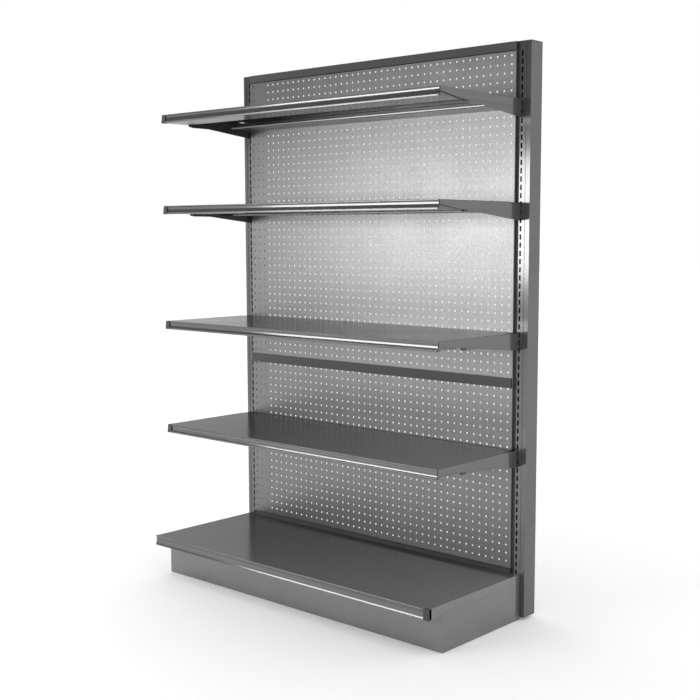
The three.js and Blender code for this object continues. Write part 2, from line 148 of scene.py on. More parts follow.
def overexposed(material, amount):
    """Make a paper look a little lighter to the camera and in reflections, and light nothing more."""
    tree = material.node_tree
    ray = add_node(tree, "ShaderNodeLightPath").outputs
    seen = add_node(tree, "ShaderNodeMath", {0: ray["Is Camera Ray"], 1: ray["Is Glossy Ray"]},
                    operation="ADD")
    seen = add_node(tree, "ShaderNodeMath", {0: seen.outputs[0], 1: ray["Is Transmission Ray"]},
                    operation="ADD")
    glow = add_node(tree, "ShaderNodeMath", {0: seen.outputs[0], 1: amount}, operation="MULTIPLY")
    shader = tree.nodes["Principled BSDF"]
    shader.inputs["Emission Color"].default_value = colour("ffffff")
    tree.links.new(glow.outputs[0], shader.inputs["Emission Strength"])


PAPER_LIFT = 0.15  # of white, added to the paper where the camera or a gloss sees it
floor = plane("floor", [(-FLOOR_HALF, -FLOOR_HALF, 0), (FLOOR_HALF, -FLOOR_HALF, 0),
                        (FLOOR_HALF, FLOOR_HALF, 0), (-FLOOR_HALF, FLOOR_HALF, 0)])
paper = matt("white seamless paper", "fefefe", 0.9)
overexposed(paper, PAPER_LIFT)
floor.data.materials.append(paper)

CLOTH_PLACE = -8.0  # metres, in front of the bay
CLOTH_HALF = 14.0
CLOTH_FOOT, CLOTH_HEAD = 2.4, 9.0
cloth = plane("black_cloth", [(x, CLOTH_PLACE, z) for x, z in (
    (-CLOTH_HALF, CLOTH_FOOT), (CLOTH_HALF, CLOTH_FOOT),
    (CLOTH_HALF, CLOTH_HEAD), (-CLOTH_HALF, CLOTH_HEAD))])
cloth.data.materials.append(matt("black studio cloth", "101010", 1.0))

world = bpy.data.worlds.new("studio")
world.use_nodes = True
scene.world = world
backdrop = world.node_tree.nodes["Background"]
backdrop.inputs["Color"].default_value = colour("ffffff")
backdrop.inputs["Strength"].default_value = 1.0
print("stage:", [o.name for o in (floor, cloth)])

# %% [markdown]
# ## Lamp
# The soft box is wide and low, hangs at about the height of the camera and stands to the left of it.
# The ticket strips mirror it as thin bright lines, and the satin panel as a broad glow behind the
# upper shelves. It isn't strong: most of the light comes from the white room.

# %% Hang the soft box
SOFT_BOX_PLACE = (-1.8, -3.12, 1.28)  # metres
SOFT_BOX_TARGET = (-1.8, 0, 1.28)
SOFT_BOX_WIDTH, SOFT_BOX_HEIGHT = 2.8, 0.79
SOFT_BOX_POWER = 56  # watts


def soft_box(name, place, target, width, height, power):
    """A rectangular soft box that faces a point."""
    lamp = bpy.data.lights.new(name, "AREA")
    lamp.shape = "RECTANGLE"
    lamp.size = width
    lamp.size_y = height
    lamp.energy = power
    holder = bpy.data.objects.new(name, lamp)
    holder.location = place
    holder.rotation_euler = (Vector(target) - Vector(place)).to_track_quat("-Z", "Y").to_euler()
    scene.collection.objects.link(holder)
    return holder


soft_box("strip_box", SOFT_BOX_PLACE, SOFT_BOX_TARGET, SOFT_BOX_WIDTH, SOFT_BOX_HEIGHT, SOFT_BOX_POWER)

# %% [markdown]
# ## Enamel
# Shop shelving is pressed from sheet steel and coated with stoved enamel. This one is a silver grey
# with fine metal flake in it. The flake gives two things to the eye: a reflection that hardly grows
# towards a grazing angle, and a very fine sparkle. The Principled shader has no flake, so the paint is
# mixed from its metallic and its plain share, with a dark tint at the metallic share's edge. The scale
# of a pattern counts its repeats in a metre, so it is 1000 divided by a size in millimetres.

# %% Flaked enamel
FLAKE_SIZE = 3.0  # mm, far coarser than real flake, so that it still shows in a picture
PEEL_SIZE = 2.5  # mm between the ripples of the orange peel
CLOUD_SIZE = 170.0  # mm between patches that were sprayed a little thicker
CLOUD_STRENGTH = 0.03  # of the colour, lighter and darker
GLOSS_SPREAD = 0.02  # of the roughness, from cloud to cloud
NOISE_LOW, NOISE_HIGH = 0.3, 0.7  # nearly all of a noise lies between these
BINDER_LEVEL = 0.1  # specular level of the thin clear binder over the flake
EDGE_TINT = (0.3, 0.3, 0.3, 1.0)  # keeps the flake from turning white at a grazing angle
RIPPLE_HEIGHT = 0.1 * MM  # of the relief in every finish


def flaked_enamel(name, hex_value, roughness, metallic=0.6, sparkle=0.06, peel=0.05):
    """Stoved enamel with metal flake: clouds, flakes and orange peel over one silver grey."""
    material = bpy.data.materials.new(name)
    material.use_nodes = True
    tree = material.node_tree
    shader = tree.nodes["Principled BSDF"]
    shader.inputs["Metallic"].default_value = metallic
    shader.inputs["Specular IOR Level"].default_value = BINDER_LEVEL
    shader.inputs["Specular Tint"].default_value = EDGE_TINT
    place = add_node(tree, "ShaderNodeTexCoord").outputs["Object"]
    cloud = add_node(tree, "ShaderNodeTexNoise", {
        "Vector": place, "Scale": 1000 / CLOUD_SIZE, "Detail": 3.0})
    flake = add_node(tree, "ShaderNodeTexNoise", {
        "Vector": place, "Scale": 1000 / FLAKE_SIZE, "Detail": 1.0})
    thick = add_node(tree, "ShaderNodeMapRange", {
        "Value": cloud.outputs["Fac"], "From Min": NOISE_LOW, "From Max": NOISE_HIGH,
        "To Min": 1 - CLOUD_STRENGTH, "To Max": 1 + CLOUD_STRENGTH})
    spark = add_node(tree, "ShaderNodeMapRange", {
        "Value": flake.outputs["Fac"], "From Min": NOISE_LOW, "From Max": NOISE_HIGH,
        "To Min": 1 - sparkle, "To Max": 1 + sparkle})
    both = add_node(tree, "ShaderNodeMath", {0: thick.outputs[0], 1: spark.outputs[0]},
                    operation="MULTIPLY")
    base = add_node(tree, "ShaderNodeMix", {"Factor": 1.0, "A": colour(hex_value), "B": both.outputs[0]},
                    data_type="RGBA", blend_type="MULTIPLY")
    tree.links.new(base.outputs["Result"], shader.inputs["Base Color"])
    gloss = add_node(tree, "ShaderNodeMapRange", {
        "Value": cloud.outputs["Fac"], "From Min": NOISE_LOW, "From Max": NOISE_HIGH,
        "To Min": roughness - GLOSS_SPREAD, "To Max": roughness + GLOSS_SPREAD})
    tree.links.new(gloss.outputs[0], shader.inputs["Roughness"])
    ripple = add_node(tree, "ShaderNodeTexNoise", {"Vector": place, "Scale": 1000 / PEEL_SIZE})
    bump = add_node(tree, "ShaderNodeBump", {
        "Height": ripple.outputs["Fac"], "Strength": peel, "Distance": RIPPLE_HEIGHT})
    tree.links.new(bump.outputs["Normal"], shader.inputs["Normal"])
    return material


finishes = {
    "frame_enamel": flaked_enamel("frame silver grey enamel", "767676", 0.13),
    "panel_enamel": flaked_enamel("panel satin silver enamel", "7c7c7c", 0.34, metallic=0.97,
                                  sparkle=0.14, peel=0.3),
    "shelf_enamel": flaked_enamel("shelf silver grey enamel", "787878", 0.18, peel=0.015),
    "strip_enamel": flaked_enamel("ticket strip gloss enamel", "747474", 0.10, sparkle=0.03, peel=0.01),
    # The base's silver grey is mixed lighter than the same enamel elsewhere. This is painted light: it
    # stands in for the light that the white floor throws up onto the base.
    "base_enamel": flaked_enamel("base silver grey enamel lightened for painted floor light", "8a8a8a", 0.18, peel=0.015),
}
print("enamels:", sorted(finishes))

# %% [markdown]
# ## Rails, caps and feet
# The rails that hold the panels are coated in a plain dark grey that hardly shines. It has the same
# clouds and orange peel as the silver enamel, and no flake.

# %% Plain enamel
def rail_enamel():
    """Dark grey enamel with little gloss, as even as a sprayed coat is."""
    material = bpy.data.materials.new("rail dark grey enamel")
    material.use_nodes = True
    tree = material.node_tree
    shader = tree.nodes["Principled BSDF"]
    shader.inputs["Specular IOR Level"].default_value = 0.25
    place = add_node(tree, "ShaderNodeTexCoord").outputs["Object"]
    cloud = add_node(tree, "ShaderNodeTexNoise", {
        "Vector": place, "Scale": 1000 / CLOUD_SIZE, "Detail": 4.0})
    tone = add_node(tree, "ShaderNodeMix", {
        "Factor": cloud.outputs["Fac"], "A": colour("4b4b4b"), "B": colour("535353")}, data_type="RGBA")
    tree.links.new(tone.outputs["Result"], shader.inputs["Base Color"])
    gloss = add_node(tree, "ShaderNodeMapRange", {
        "Value": cloud.outputs["Fac"], "To Min": 0.42, "To Max": 0.5})
    tree.links.new(gloss.outputs[0], shader.inputs["Roughness"])
    ripple = add_node(tree, "ShaderNodeTexNoise", {"Vector": place, "Scale": 1000 / PEEL_SIZE})
    bump = add_node(tree, "ShaderNodeBump", {
        "Height": ripple.outputs["Fac"], "Strength": 0.15, "Distance": RIPPLE_HEIGHT})
    tree.links.new(bump.outputs["Normal"], shader.inputs["Normal"])
    return material


finishes["rail_enamel"] = rail_enamel()
print("rail:", finishes["rail_enamel"].name)

# %% [markdown]
# The caps are moulded in black plastic, and the dark blocks of painted shade under the arms are made of
# it too. A spark-eroded mould leaves a fine grain on them, which dulls the plastic and lifts its tone. A
# cell pattern gives such a grain.

# %% Moulded plastic
GRAIN_SIZE = 0.8  # mm, coarser than the grain of a real mould, so that it still shows in a picture


def moulded_plastic():
    """Black moulded polypropylene with a fine grain."""
    material = bpy.data.materials.new("cap black moulded plastic")
    material.use_nodes = True
    tree = material.node_tree
    shader = tree.nodes["Principled BSDF"]
    shader.inputs["IOR"].default_value = 1.49
    shader.inputs["Specular IOR Level"].default_value = 0.3
    place = add_node(tree, "ShaderNodeTexCoord").outputs["Object"]
    grain = add_node(tree, "ShaderNodeTexVoronoi", {"Vector": place, "Scale": 1000 / GRAIN_SIZE})
    tone = add_node(tree, "ShaderNodeMix", {
        "Factor": grain.outputs["Distance"], "A": colour("444444"), "B": colour("4c4c4c")},
        data_type="RGBA")
    tree.links.new(tone.outputs["Result"], shader.inputs["Base Color"])
    gloss = add_node(tree, "ShaderNodeMapRange", {
        "Value": grain.outputs["Distance"], "To Min": 0.45, "To Max": 0.6})
    tree.links.new(gloss.outputs[0], shader.inputs["Roughness"])
    bump = add_node(tree, "ShaderNodeBump", {
        "Height": grain.outputs["Distance"], "Strength": 0.2, "Distance": RIPPLE_HEIGHT})
    tree.links.new(bump.outputs["Normal"], shader.inputs["Normal"])
    return material


finishes["cap_plastic"] = moulded_plastic()
print("caps:", finishes["cap_plastic"].name)

# %% [markdown]
# The feet and nuts are steel with a thin layer of zinc, which dries in soft cloudy spots. Some spots
# are duller than others, so one noise drives the tone and the gloss together.

# %% Zinc plate
SPOT_SIZE = 6.0  # mm across the cloudy spots in the zinc


def zinc_plate():
    """Bright zinc plating on turned and pressed steel."""
    material = bpy.data.materials.new("foot zinc plated steel")
    material.use_nodes = True
    tree = material.node_tree
    shader = tree.nodes["Principled BSDF"]
    shader.inputs["Metallic"].default_value = 1.0
    place = add_node(tree, "ShaderNodeTexCoord").outputs["Object"]
    spot = add_node(tree, "ShaderNodeTexNoise", {
        "Vector": place, "Scale": 1000 / SPOT_SIZE, "Detail": 3.0})
    tone = add_node(tree, "ShaderNodeMix", {
        "Factor": spot.outputs["Fac"], "A": colour("a4a6a8"), "B": colour("c6c8ca")}, data_type="RGBA")
    tree.links.new(tone.outputs["Result"], shader.inputs["Base Color"])
    gloss = add_node(tree, "ShaderNodeMapRange", {
        "Value": spot.outputs["Fac"], "To Min": 0.22, "To Max": 0.42})
    tree.links.new(gloss.outputs[0], shader.inputs["Roughness"])
    bump = add_node(tree, "ShaderNodeBump", {
        "Height": spot.outputs["Fac"], "Strength": 0.1, "Distance": RIPPLE_HEIGHT})
    tree.links.new(bump.outputs["Normal"], shader.inputs["Normal"])
    return material


finishes["foot_zinc"] = zinc_plate()
print("feet:", finishes["foot_zinc"].name)

# %% [markdown]
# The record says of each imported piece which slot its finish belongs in, and which body it rides on.

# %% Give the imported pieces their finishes
slot_of = {row["node"]: row["material_slot"] for row in frame["record"]["subparts"]}
body_of = {name: body for body, names in frame["record"]["behaviour"]["bodies"].items() for name in names}
for name, node in nodes.items():
    node.data.materials.clear()
    node.data.materials.append(finishes[slot_of[name]])

# %% [markdown]
# ## Softened edges
# A pressed or sawn edge is never quite sharp, and the thin line of light along it tells the eye that
# it is steel. The arms, rails, caps and plates that stay as packed get a small live bevel. Their
# mesh is loose triangles, so a weld comes first.

# %% Bevel the pieces that stay as packed
EDGE_RADIUS = 0.35 * MM
WELD_REACH = 0.001 * MM
SHARPEST_CURVE = math.radians(40)  # an edge that turns by less stays as it is


def soften(piece):
    """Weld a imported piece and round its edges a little."""
    weld = piece.modifiers.new("weld", "WELD")
    weld.merge_threshold = WELD_REACH
    bevel = piece.modifiers.new("bevel", "BEVEL")
    bevel.width = EDGE_RADIUS
    bevel.segments = 2
    bevel.limit_method = "ANGLE"
    bevel.angle_limit = SHARPEST_CURVE


for name, node in nodes.items():
    if name.endswith(("_arm", "_rail", "_cap", "kick_plate", "_end_panel")):
        soften(node)
print("softened:", sum(1 for node in nodes.values() if node.modifiers))

# %% [markdown]
# ## Folded sheet
# Nearly everything here is sheet steel folded along straight lines. A fold has a round outside, and
# that round is where the light runs as a line. A bevel on a solid would round the outside alone, so
# the sheet's section is drawn instead: one helper turns a path of corners into the section of a
# folded sheet, with concentric rounds on both of its faces.

# %% Sections of folded sheet
FOLD_STEPS = 5  # flats in a round
SMOOTH_TURN = math.radians(12)  # a smaller turn belongs to a curve, not to a fold


def folded(corners, sheet, fold):
    """The closed section of a sheet along a path of corners, and which of its sides are round.

    The path is the sheet's face, and the sheet lies on its left. fold is the outer radius.
    """
    points = [Vector(corner) for corner in corners]
    runs = [(after - before).normalized() for before, after in zip(points, points[1:])]
    face, back, round_side = [], [], []

    def station(point, normal, is_round):
        face.append(point)
        back.append(point + normal * sheet)
        round_side.append(is_round)

    for i, point in enumerate(points):
        before = runs[max(i - 1, 0)]
        after = runs[min(i, len(runs) - 1)]
        turn = math.atan2(before.x * after.y - before.y * after.x, before.dot(after))
        normal = Vector((-before.y, before.x))
        if abs(turn) < SMOOTH_TURN:
            middle = (before + after).normalized()
            is_end = i in (0, len(points) - 1)
            station(point, Vector((-middle.y, middle.x)), not is_end)
            continue
        radius = fold if turn > 0 else fold - sheet
        reach = min((point - points[i - 1]).length, (points[i + 1] - point).length) / 2
        radius = min(radius, reach / math.tan(abs(turn) / 2))
        side = math.copysign(1, turn)
        start = point - before * radius * math.tan(abs(turn) / 2)
        centre = start + normal * radius * side
        for k in range(FOLD_STEPS + 1):
            bent = Vector(normal)
            bent.rotate(Matrix.Rotation(turn * k / FOLD_STEPS, 2))
            station(centre - bent * radius * side, bent, k < FOLD_STEPS)
    flags = round_side[:-1] + [False] + round_side[:-1][::-1] + [False]
    return face + back[::-1], flags


def plain(corners):
    """A flat-sided section, with no round side."""
    return [Vector(corner) for corner in corners], [False] * len(corners)


print("a right-angled fold has", len(folded([(0, 0), (1, 0), (1, 1)], 0.1, 0.2)[0]), "points")

# %% [markdown]
# A piece is a few such sections side by side, each drawn out along its own axis. Only the round sides
# are shaded smooth, and every edge of a flat side is marked sharp: a smooth side that shared its
# normals with a flat one would lose the thin light line of a fold.

# %% Draw the sections out
def draw_out(work, section, flags, span, axis):
    """Add a section to a bmesh, drawn out over a span along the X or the Y axis."""
    def at(point, distance):
        return (distance, point.x, point.y) if axis == "X" else (point.x, distance, point.y)

    ends = [[work.verts.new(at(point, distance)) for point in section] for distance in span]
    count = len(section)
    made = []
    for i in range(count):
        k = (i + 1) % count
        side = work.faces.new((ends[0][i], ends[0][k], ends[1][k], ends[1][i]))
        side.smooth = flags[i]
        made.append(side)
    made += [work.faces.new(ends[0]), work.faces.new(ends[1][::-1])]
    bmesh.ops.recalc_face_normals(work, faces=made)
    for face in made:
        for edge in face.edges:
            edge.smooth = all(near.smooth for near in edge.link_faces)


def drawn_piece(name, parts):
    """One object from several sections, each drawn out over its own span."""
    mesh = bpy.data.meshes.new(name)
    work = bmesh.new()
    for (section, flags), span, axis in parts:
        draw_out(work, section, flags, span, axis)
    work.to_mesh(mesh)
    work.free()
    piece = bpy.data.objects.new(name, mesh)
    scene.collection.objects.link(piece)
    return piece


def sheet_piece(name, parts, body, node, slot):
    """A drawn-out piece in its finish on its body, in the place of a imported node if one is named."""
    piece = drawn_piece(name, parts)
    piece.data.materials.append(finishes[slot])
    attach(piece, body)
    if node:
        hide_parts(node)
    return piece


print("smooth only below", round(math.degrees(SMOOTH_TURN)), "degrees of turn, and in the rounds")

# %% [markdown]
# ## The perforated back
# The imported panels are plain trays. Each is replaced with one of the same size that has rounded folds
# and its peg holes. Cutting 2,700 holes one by one would be slow, so a node tree punches them: one row
# of circles inside a rectangle is filled as a flat face, the row is repeated up the panel, and the
# sheet is given its thickness and stood up.

# %% Punch a sheet with a node tree
SEAM_REACH = 0.01 * MM  # corners that lie nearer than this become one


def peg_sheet_tree():
    """A node tree that adds a punched sheet to the folded rim of a panel."""
    tree = bpy.data.node_groups.new("peg_sheet", "GeometryNodeTree")
    face = tree.interface
    face.new_socket("Rim", in_out="INPUT", socket_type="NodeSocketGeometry")
    for name in ("Width", "Thickness", "Pitch", "Hole Radius", "Foot", "First Row", "Head", "Lean"):
        face.new_socket(name, in_out="INPUT", socket_type="NodeSocketFloat")
    for name in ("Columns", "Rows", "Hole Sides"):
        face.new_socket(name, in_out="INPUT", socket_type="NodeSocketInt")
    face.new_socket("Finish", in_out="INPUT", socket_type="NodeSocketMaterial")
    face.new_socket("Panel", in_out="OUTPUT", socket_type="NodeSocketGeometry")
    given = add_node(tree, "NodeGroupInput").outputs

    def maths(operation, first, second):
        return add_node(tree, "ShaderNodeMath", {0: first, 1: second}, operation=operation).outputs[0]

    def raised(geometry, height):
        place = add_node(tree, "ShaderNodeCombineXYZ", {"Y": height})
        moved = add_node(tree, "GeometryNodeTransform", {
            "Geometry": geometry, "Translation": place.outputs[0]})
        return moved.outputs[0]

    def joined(*parts):
        whole = add_node(tree, "GeometryNodeJoinGeometry")
        for part in parts:
            tree.links.new(part, whole.inputs[0])
        return whole.outputs[0]

    def plain_strip(low, high):
        strip = add_node(tree, "GeometryNodeMeshGrid", {
            "Size X": given["Width"], "Size Y": maths("SUBTRACT", high, low),
            "Vertices X": 2, "Vertices Y": 2})
        return raised(strip.outputs["Mesh"], maths("MULTIPLY", maths("ADD", low, high), 0.5))

    # One row: circles on a line inside a rectangle as tall as the pitch, filled as one face
    span = maths("MULTIPLY", maths("SUBTRACT", given["Columns"], 1.0), given["Pitch"])
    places = add_node(tree, "GeometryNodeMeshGrid", {
        "Size X": span, "Size Y": 0.0, "Vertices X": given["Columns"], "Vertices Y": 1})
    hole = add_node(tree, "GeometryNodeCurvePrimitiveCircle", {
        "Resolution": given["Hole Sides"], "Radius": given["Hole Radius"]})
    holes = add_node(tree, "GeometryNodeInstanceOnPoints", {
        "Points": places.outputs["Mesh"], "Instance": hole.outputs[0]})
    holes = add_node(tree, "GeometryNodeRealizeInstances", {"Geometry": holes.outputs[0]})
    edge = add_node(tree, "GeometryNodeCurvePrimitiveQuadrilateral", {
        "Width": given["Width"], "Height": given["Pitch"]})
    row = add_node(tree, "GeometryNodeFillCurve", {"Curve": joined(holes.outputs[0], edge.outputs[0])})

    # The rows stand on each other, with a plain strip under the first and over the last
    step = add_node(tree, "ShaderNodeCombineXYZ", {"Y": given["Pitch"]})
    first = add_node(tree, "ShaderNodeCombineXYZ", {"Y": given["First Row"]})
    heights = add_node(tree, "GeometryNodeMeshLine", {
        "Count": given["Rows"], "Start Location": first.outputs[0], "Offset": step.outputs[0]})
    rows = add_node(tree, "GeometryNodeInstanceOnPoints", {
        "Points": heights.outputs[0], "Instance": row.outputs[0]})
    rows = add_node(tree, "GeometryNodeRealizeInstances", {"Geometry": rows.outputs[0]})
    half = maths("MULTIPLY", given["Pitch"], 0.5)
    low = maths("SUBTRACT", given["First Row"], half)
    high = maths("ADD", low, maths("MULTIPLY", given["Rows"], given["Pitch"]))
    front = joined(rows.outputs[0], plain_strip(given["Foot"], low), plain_strip(high, given["Head"]))
    front = add_node(tree, "GeometryNodeMergeByDistance", {"Geometry": front, "Distance": SEAM_REACH})
    back = add_node(tree, "GeometryNodeExtrudeMesh", {
        "Mesh": front.outputs[0], "Offset Scale": maths("MULTIPLY", given["Thickness"], -1.0),
        "Individual": False})
    back = add_node(tree, "GeometryNodeFlipFaces", {"Mesh": back.outputs["Mesh"]})
    sheet = add_node(tree, "GeometryNodeMergeByDistance", {
        "Geometry": joined(front.outputs[0], back.outputs[0]), "Distance": SEAM_REACH})
    lean = add_node(tree, "ShaderNodeCombineXYZ", {"X": given["Lean"]})
    sheet = add_node(tree, "GeometryNodeTransform", {
        "Geometry": sheet.outputs[0], "Rotation": lean.outputs[0]})
    whole = joined(sheet.outputs[0], given["Rim"])
    whole = add_node(tree, "GeometryNodeRealizeInstances", {"Geometry": whole})
    painted = add_node(tree, "GeometryNodeSetMaterial", {
        "Geometry": whole.outputs[0], "Material": given["Finish"]})
    add_node(tree, "NodeGroupOutput", {"Panel": painted.outputs[0]})
    return tree


peg_tree = peg_sheet_tree()
print("node tree:", peg_tree.name, "with", len(peg_tree.nodes), "nodes")

# %% [markdown]
# The tree runs as a modifier. Its inputs are set by the identifiers of their sockets, and its result
# is kept as a plain mesh.

# %% Run the tree on a piece
Y, Z = 1, 2  # places of the axes in a point


def apply_tree(piece, tree, values):
    """Run a node tree on a piece with the given inputs, and keep the result as a plain mesh."""
    modifier = piece.modifiers.new(tree.name, "NODES")
    modifier.node_group = tree
    keys = {item.name: item.identifier for item in tree.interface.items_tree if item.in_out == "INPUT"}
    for name, value in values.items():
        modifier[keys[name]] = value
    bpy.context.view_layer.update()
    made = piece.evaluated_get(bpy.context.evaluated_depsgraph_get())
    mesh = bpy.data.meshes.new_from_object(made)
    piece.modifiers.remove(modifier)
    piece.data = mesh
    return piece


def slide(piece, axis, distance):
    """Move every vertex of a piece along an axis."""
    for vertex in piece.data.vertices:
        vertex.co[axis] += distance


print("inputs:", [item.name for item in peg_tree.interface.items_tree if item.in_out == "INPUT"])

# %% [markdown]
# A panel's rim is one closed profile swept round its four corners: a round fold at the front, with a
# smaller round inside it, and the turned edge of the tray behind it.

# %% Fold a rim
def ring_mesh(name, corners_at, profile):
    """A closed ring swept round four corners, from a closed profile of (inset, depth) pairs."""
    mesh = bpy.data.meshes.new(name)
    work = bmesh.new()
    loops = [[work.verts.new(corner) for corner in corners_at(inset, depth)] for inset, depth in profile]
    for loop, following in zip(loops, loops[1:] + loops[:1]):
        for i in range(len(loop)):
            k = (i + 1) % len(loop)
            work.faces.new((loop[i], loop[k], following[k], following[i]))
    bmesh.ops.recalc_face_normals(work, faces=work.faces)
    work.to_mesh(mesh)
    work.free()
    return mesh


def quarter(radius, centre, start):
    """Points of a quarter turn about a centre."""
    turns = [start + i * math.pi / 2 / FOLD_STEPS for i in range(FOLD_STEPS + 1)]
    return [(centre[0] + radius * math.cos(turn), centre[1] + radius * math.sin(turn)) for turn in turns]


print("a quarter turn has", len(quarter(1, (0, 0), 0)), "points")

# %% [markdown]
# The holes of such panels lie an inch apart. All rows of the bay are on one grid, so a row's height
# follows from its number, and each panel holds the rows that keep clear of its rim.

# %% Make the two panels
PEG_PITCH = 25.4 * MM
PEG_RADIUS = 3.0 * MM
PEG_COLUMNS = 45
PEG_SIDES = 12  # of a hole's outline, few because there are so many holes
PEG_ROW_BASE = 2.4 * MM  # height of row number 0 over the floor
PEG_MARGIN = 12 * MM  # clear of a panel's upper and lower edge
PANEL_SHEET = 1.0 * MM
PANEL_BEND = 2.2 * MM  # outer radius of the fold


def perforated_panel(node):
    """A back panel with folded edges and peg holes, in the place of a packed one."""
    low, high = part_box(node)
    deep = high[1] - low[1]
    bend = quarter(PANEL_BEND, (PANEL_BEND, PANEL_BEND), math.pi)
    inner = quarter(PANEL_BEND - PANEL_SHEET, (PANEL_BEND, PANEL_BEND), math.pi)
    profile = bend[::-1] + [(0, deep), (PANEL_SHEET, deep)] + inner

    def corners_at(inset, depth):
        x0, x1, z0, z1 = low[0] + inset, high[0] - inset, low[2] + inset, high[2] - inset
        return [(x, low[1] + depth, z) for x, z in ((x0, z0), (x1, z0), (x1, z1), (x0, z1))]

    piece = bpy.data.objects.new(node + "_punched", ring_mesh(node + "_rim", corners_at, profile))
    scene.collection.objects.link(piece)
    first = math.ceil((low[2] + PEG_MARGIN - PEG_ROW_BASE) / PEG_PITCH)
    last = math.floor((high[2] - PEG_MARGIN - PEG_ROW_BASE) / PEG_PITCH)
    slide(piece, Y, -low[1])
    apply_tree(piece, peg_tree, {
        "Width": high[0] - low[0] - 2 * PANEL_BEND, "Thickness": PANEL_SHEET, "Pitch": PEG_PITCH,
        "Hole Radius": PEG_RADIUS, "Foot": low[2] + PANEL_BEND,
        "First Row": PEG_ROW_BASE + first * PEG_PITCH, "Head": high[2] - PANEL_BEND,
        "Columns": PEG_COLUMNS, "Rows": last - first + 1, "Hole Sides": PEG_SIDES,
        "Lean": math.pi / 2, "Finish": finishes["panel_enamel"]})
    slide(piece, Y, low[1])
    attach(piece, "frame")
    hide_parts(node)
    triangles = sum(len(face.vertices) - 2 for face in piece.data.polygons)
    print(node, "rows", last - first + 1, "triangles", triangles)
    return piece


perforated_panel("upper_back_panel")
perforated_panel("lower_back_panel")

# %% [markdown]
# ## Shelves
# A shelf is one sheet. Its front edge is folded down, back, down, out, down and under, which makes a
# channel for the ticket strip over a small lip. Its sides are folded down and taper to the front, and
# its rear is folded down and forwards again under the shelf, with a hem. Each fold is a section of its
# own, side by side with the flat top. The lip and the hem lean by less than half a millimetre, as a
# fold does that springs back in the press.

# %% Measures of the trays
TOP_LIP = 3.5 * MM  # height of the rim over the channel
RECESS = 5.2 * MM  # depth of the channel
FRONT_RETURN = 14 * MM  # from the front to the end of the return under the channel
LIP_LEAN = 0.38 * MM  # of the bottom lip's foot, behind its top
EDGE_FLAT = 12 * MM  # of the flat top that belongs to the front section
SIDE_FLAT = 6 * MM  # of the flat top that belongs to a side fold
SIDE_FOLD_DROP = 4 * MM  # of the side flange that belongs to it
CAP_LENGTH = 19 * MM
CAP_WALL = 1.0 * MM
CAP_BEND = 1.6 * MM
CAP_PLAY = 0.4 * MM  # between a cap and the folded edge beside it


def front_edge(front, top, height, lip, reach):
    """Corners of a tray's front edge, from its flat top down to the return under the channel."""
    lean = LIP_LEAN if reach else 0
    return [
        (front + EDGE_FLAT, top), (front, top), (front, top - TOP_LIP), (front + RECESS, top - TOP_LIP),
        (front + RECESS, top - height + lip), (front - reach, top - height + lip),
        (front - reach + lean, top - height), (front + FRONT_RETURN, top - height),
    ]


def side_folds(half, top, sheet, fold, span):
    """The folds along both sides of a tray, each with a narrow strip of the top and of the flange."""
    right = [(half, top - SIDE_FOLD_DROP), (half, top), (half - SIDE_FLAT, top)]
    left = [(-x, z) for x, z in right[::-1]]
    return [(folded(right, sheet, fold), span, "Y"), (folded(left, sheet, fold), span, "Y")]


def flanges(half, sheet, corners):
    """The flat part of both side flanges, from its corners seen from the side."""
    return [(plain(corners), (half - sheet, half), "X"), (plain(corners), (-half, -half + sheet), "X")]


def end_cap(name, front, top, height, reach, outer, side, body):
    """A moulded cap round the end of a front edge, pushed out by the ticket strip when that slides."""
    inner = outer - side * (CAP_LENGTH - CAP_PLAY)
    path = [(front + EDGE_FLAT, top), (front, top), (front - reach, top - height),
            (front + FRONT_RETURN, top - height)]
    shell = folded(path, CAP_WALL, CAP_BEND)
    end = [(front + FRONT_RETURN, top - CAP_WALL), (front + CAP_WALL, top - CAP_WALL),
           (front - reach + CAP_WALL, top - height + CAP_WALL),
           (front + FRONT_RETURN, top - height + CAP_WALL)]
    parts = [(shell, sorted((inner, outer)), "X"),
             (plain(end), sorted((outer - side * CAP_WALL, outer)), "X")]
    return sheet_piece(name, parts, body, None, "cap_plastic")


print("the channel is", round(RECESS / MM, 1), "mm deep")

# %% Fold the four shelves
SHELF_SHEET = 1.0 * MM
SHELF_FOLD = 2.2 * MM
SHELF_FRONT_FOLD = 1.2 * MM
SHELF_FRONT = 28 * MM  # height of the front edge
SHELF_LIP = 6 * MM
SHELF_REACH = 3.5 * MM  # of the lip, in front of the rim over the channel
NOTCH_WIDTH = 14 * MM  # of the notches beside the rear edge, round the arms
NOTCH_LENGTH = 36.5 * MM
FLANGE_FRONT = 12.5 * MM  # height of a side flange at the front
FLANGE_REAR = 25.5 * MM
TAPER = 98 * MM  # from the front to where a flange is full height
REAR_RETURN = 104 * MM  # from the rear to the hem
REAR_STEP = 12 * MM  # of the rear return that is as wide as the rear
HEM_INSET = 24 * MM  # of the rest of the return, from either end of the rear
HEM = 5 * MM
HEM_LEAN = 0.45 * MM  # of its foot, behind its top


